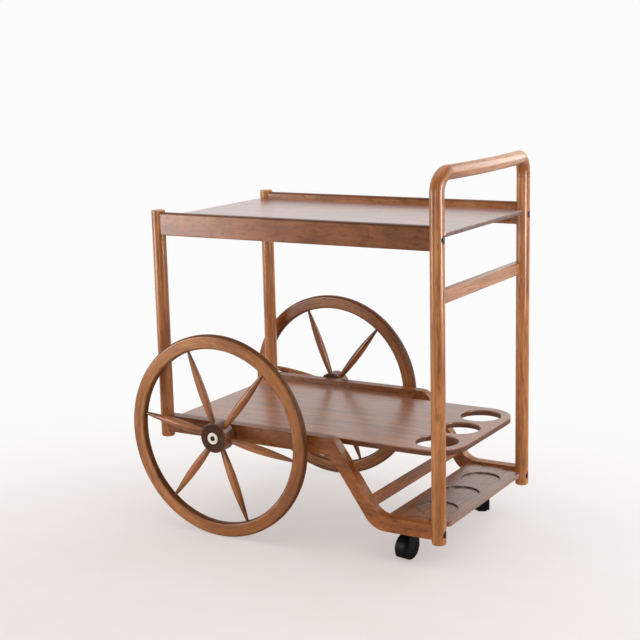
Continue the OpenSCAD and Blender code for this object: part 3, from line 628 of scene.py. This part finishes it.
def dress():
    """Every piece gets its material."""
    for number, side in enumerate(SIDES):
        dress_side(side, seed=1.3 * (number + 1))
    finish_wood("handle_bar", grain_handle, WARM, HANDLE_SEED, lacquer=0.75)
    finish_wood("handle_dowels", grain_z, WARM, seed=5.2)
    finish_wood("tray_panel", grain_x, TRAY, seed=9.4, edge=TRAY_ARRIS, figure=0.4, lacquer=1.0,
                shine=1.75, gloss=0.25, dull=below(top_of("tray_panel"), 0.5))
    shelf = wood("lower_shelf", grain_x, PANEL, seed=4.6, figure=0.35, lacquer=0.9, gloss=0.25,
                 dull=below(top_of("lower_shelf"), 0.6))
    round_arris(joined_shelf(shelf), SHELF_ARRIS)
    finish_wood("bottle_shelf", grain_y, LOW, seed=6.6, edge=BOTTLE_SHELF_ARRIS, figure=0.1,
                lacquer=1.0, stain=recess_edge)
    finish_wood("rear_cross_rail", grain_y, WARM, seed=2.2, edge=RAIL_ARRIS, lacquer=1.0)
    finish_wood("lower_cross_rail", grain_y, STRINGER, seed=8.3, edge=RAIL_ARRIS, lacquer=0.25)
    finish_wood("castor_batten", grain_y, APRON, seed=1.1, edge=RAIL_ARRIS)
    for part in ("rear_rail_dowels", "lower_rail_dowels"):
        finish_wood(part, grain_y, WARM, seed=0.4)
    finish_node("frame_bolts", metal("bolt_steel", BOLT_STEEL))
    finish_node("thread_inserts", metal("insert_brass", BRASS))


# Studio


WHITE = (0.975, 0.975, 0.975, 1)
# The light that the room sends to the cart from all round
ROOM_LIGHT = (1.0, 0.985, 0.97, 1)
ROOM_LEVEL = 0.62
# The way from the cart to the backdrop, level with the floor
BEHIND = Vector((-0.512, 0.859, 0))
# How bright the studio is, as glossy things see it, on the camera's side of the room
CAMERA_SIDE = 0.15
FLOOR_DARK = srgb(235, 227, 224)
FLOOR_LIGHT = srgb(243, 237, 235)
FLOOR_SPECK = srgb(218, 209, 204)
# The floor's even glow near the cart: painted light that lightens the cart's shadow
FLOOR_PAINTED_GLOW = srgb(228, 219, 215)
FLOOR_HALF = 12
# The floor's own look ends round this place, between these distances
FADE_PLACE = (0.05, -0.6, 0.0)
FADE_START = 0.35
FADE_END = 1.6


def seen_directly(tree):
    """Two switches: one for camera rays, one for these and glossy and transmission rays."""
    path = add(tree, "ShaderNodeLightPath").outputs
    mirrored = maths(tree, "MAXIMUM", path["Is Glossy Ray"], path["Is Transmission Ray"])
    return path["Is Camera Ray"], maths(tree, "MAXIMUM", path["Is Camera Ray"], mirrored)


def along_behind(tree, vector):
    """How far a vector reaches towards the backdrop."""
    return vectors(tree, "DOT_PRODUCT", vector, BEHIND).outputs["Value"]


def make_floor():
    """A pale floor that fades into the white backdrop away from the cart."""
    made, tree, shader = material("floor")
    place = object_place(tree)
    marks = noise(tree, stretch(tree, place, 2.2, 6, 1), detail=6, roughness=0.62)
    specks = noise(tree, stretch(tree, place, 40, 60, 1), detail=3, roughness=0.7)
    colour = mix(tree, spread(tree, marks, 0.35, 0.7), FLOOR_DARK, FLOOR_LIGHT)
    colour = mix(tree, spread(tree, specks, 0.68, 0.78), colour, FLOOR_SPECK)
    put(tree, shader.inputs["Base Color"], colour)
    shader.inputs["Roughness"].default_value = 0.6
    camera, seen = seen_directly(tree)

    # Painted light: for camera rays the floor partly glows with an even colour, which lightens the
    # cart's shadow on it.
    painted_glow = add(tree, "ShaderNodeEmission", {"Color": FLOOR_PAINTED_GLOW})
    near = add(tree, "ShaderNodeMixShader", {
        0: maths(tree, "MULTIPLY", camera, 0.6), 1: shader.outputs[0], 2: painted_glow.outputs[0],
    })
    reach = vectors(tree, "DISTANCE", place, FADE_PLACE).outputs["Value"]
    fade = add(tree, "ShaderNodeMapRange", {
        "Value": reach, "From Min": FADE_START, "From Max": FADE_END,
    }, interpolation_type="SMOOTHSTEP").outputs[0]
    level = spread(tree, along_behind(tree, place), -1.5, 0.5, CAMERA_SIDE, 1.0)
    glow = add(tree, "ShaderNodeEmission", {
        "Color": WHITE, "Strength": maths(tree, "MAXIMUM", camera, level),
    })
    both = add(tree, "ShaderNodeMixShader", {
        0: maths(tree, "MULTIPLY", fade, seen), 1: near.outputs[0], 2: glow.outputs[0],
    })
    tree.links.new(both.outputs[0], tree.nodes["Material Output"].inputs["Surface"])
    mesh = bpy.data.meshes.new("floor")
    corners = [
        (-FLOOR_HALF, -FLOOR_HALF, 0), (FLOOR_HALF, -FLOOR_HALF, 0),
        (FLOOR_HALF, FLOOR_HALF, 0), (-FLOOR_HALF, FLOOR_HALF, 0),
    ]
    mesh.from_pydata(corners, [], [(0, 1, 2, 3)])
    mesh.materials.append(made)
    floor = bpy.data.objects.new("floor", mesh)
    bpy.context.scene.collection.objects.link(floor)


def make_world():
    """A white studio: bright behind the cart and dimmer on the camera's side of the room."""
    world = bpy.data.worlds.new("studio")
    world.use_nodes = True
    tree = world.node_tree
    tree.nodes.clear()
    way = add(tree, "ShaderNodeTexCoord").outputs["Generated"]
    level = spread(tree, along_behind(tree, way), -0.3, 0.5, CAMERA_SIDE, 1.0)
    camera, seen = seen_directly(tree)
    shown = add(tree, "ShaderNodeBackground", {
        "Color": WHITE, "Strength": maths(tree, "MAXIMUM", camera, level),
    })
    lit = add(tree, "ShaderNodeBackground", {"Color": ROOM_LIGHT, "Strength": ROOM_LEVEL})
    both = add(tree, "ShaderNodeMixShader", {0: seen, 1: lit.outputs[0], 2: shown.outputs[0]})
    out = add(tree, "ShaderNodeOutputWorld")
    tree.links.new(both.outputs[0], out.inputs["Surface"])
    bpy.context.scene.world = world


def lamp(name, centre, aim, size, level):
    """A soft rectangular lamp; its level is its brightness, where 1 is the backdrop's white."""
    data = bpy.data.lights.new(name, "AREA")
    data.shape = "RECTANGLE"
    data.size, data.size_y = size
    data.energy = level * 4 * size[0] * size[1]
    made = bpy.data.objects.new(name, data)
    back = Vector(centre) - Vector(aim)
    turn = back.to_track_quat("Z", "Y").to_matrix().to_4x4()
    made.matrix_world = Matrix.Translation(centre) @ turn
    made.visible_camera = False
    bpy.context.scene.collection.objects.link(made)
    return made


def panel(name, start, end, low, high, level):
    """An upright lamp over the floor from start to end, turned to the cart."""
    start, end = Vector(start), Vector(end)
    centre = ((start + end) / 2).to_3d() + Vector((0, 0, (low + high) / 2))
    across = (end - start).normalized()
    inward = Vector((across.y, -across.x, 0))
    if inward.dot(centre) > 0:
        inward = -inward
    return lamp(name, centre, centre + inward, ((end - start).length, high - low), level)


def light():
    """Soft lamps that light the cart, and low bright strips that only the lacquer shows."""
    soft = (
        panel("left", start=(-1.3, -1.85), end=(-2.35, -0.55), low=0.2, high=1.9, level=1.2),
        panel("right", start=(1.25, -0.33), end=(1.25, 0.03), low=0.4, high=1.7, level=1.8),
        lamp("front", centre=(0.6, -2.6, 2.2), aim=(0, 0, 0.4), size=(2.0, 1.2), level=0.8),
    )
    for made in soft:
        made.visible_glossy = False
    lamp("top", centre=(-0.2, -0.2, 2.9), aim=(0, 0, 0), size=(2.4, 2.4), level=1.4)
    panel("back_right", start=(1.6, 1.0), end=(0.6, 2.0), low=0.7, high=2.0, level=2.4)
    strips = (
        panel("left_shine", start=(-1.25, -1.78), end=(-1.8, -1.1), low=0.2, high=0.95, level=10.5),
        panel("front_shine", start=(0.45, -2.8), end=(0.85, -2.75), low=0.42, high=1.1, level=18),
        panel("right_shine", start=(1.2, -0.33), end=(1.2, 0.03), low=0.36, high=1.0, level=19),
    )
    for made in strips:
        made.visible_diffuse = False


make_camera()
dress()
make_floor()
make_world()
light()
bpy.context.scene.view_settings.view_transform = "Standard"
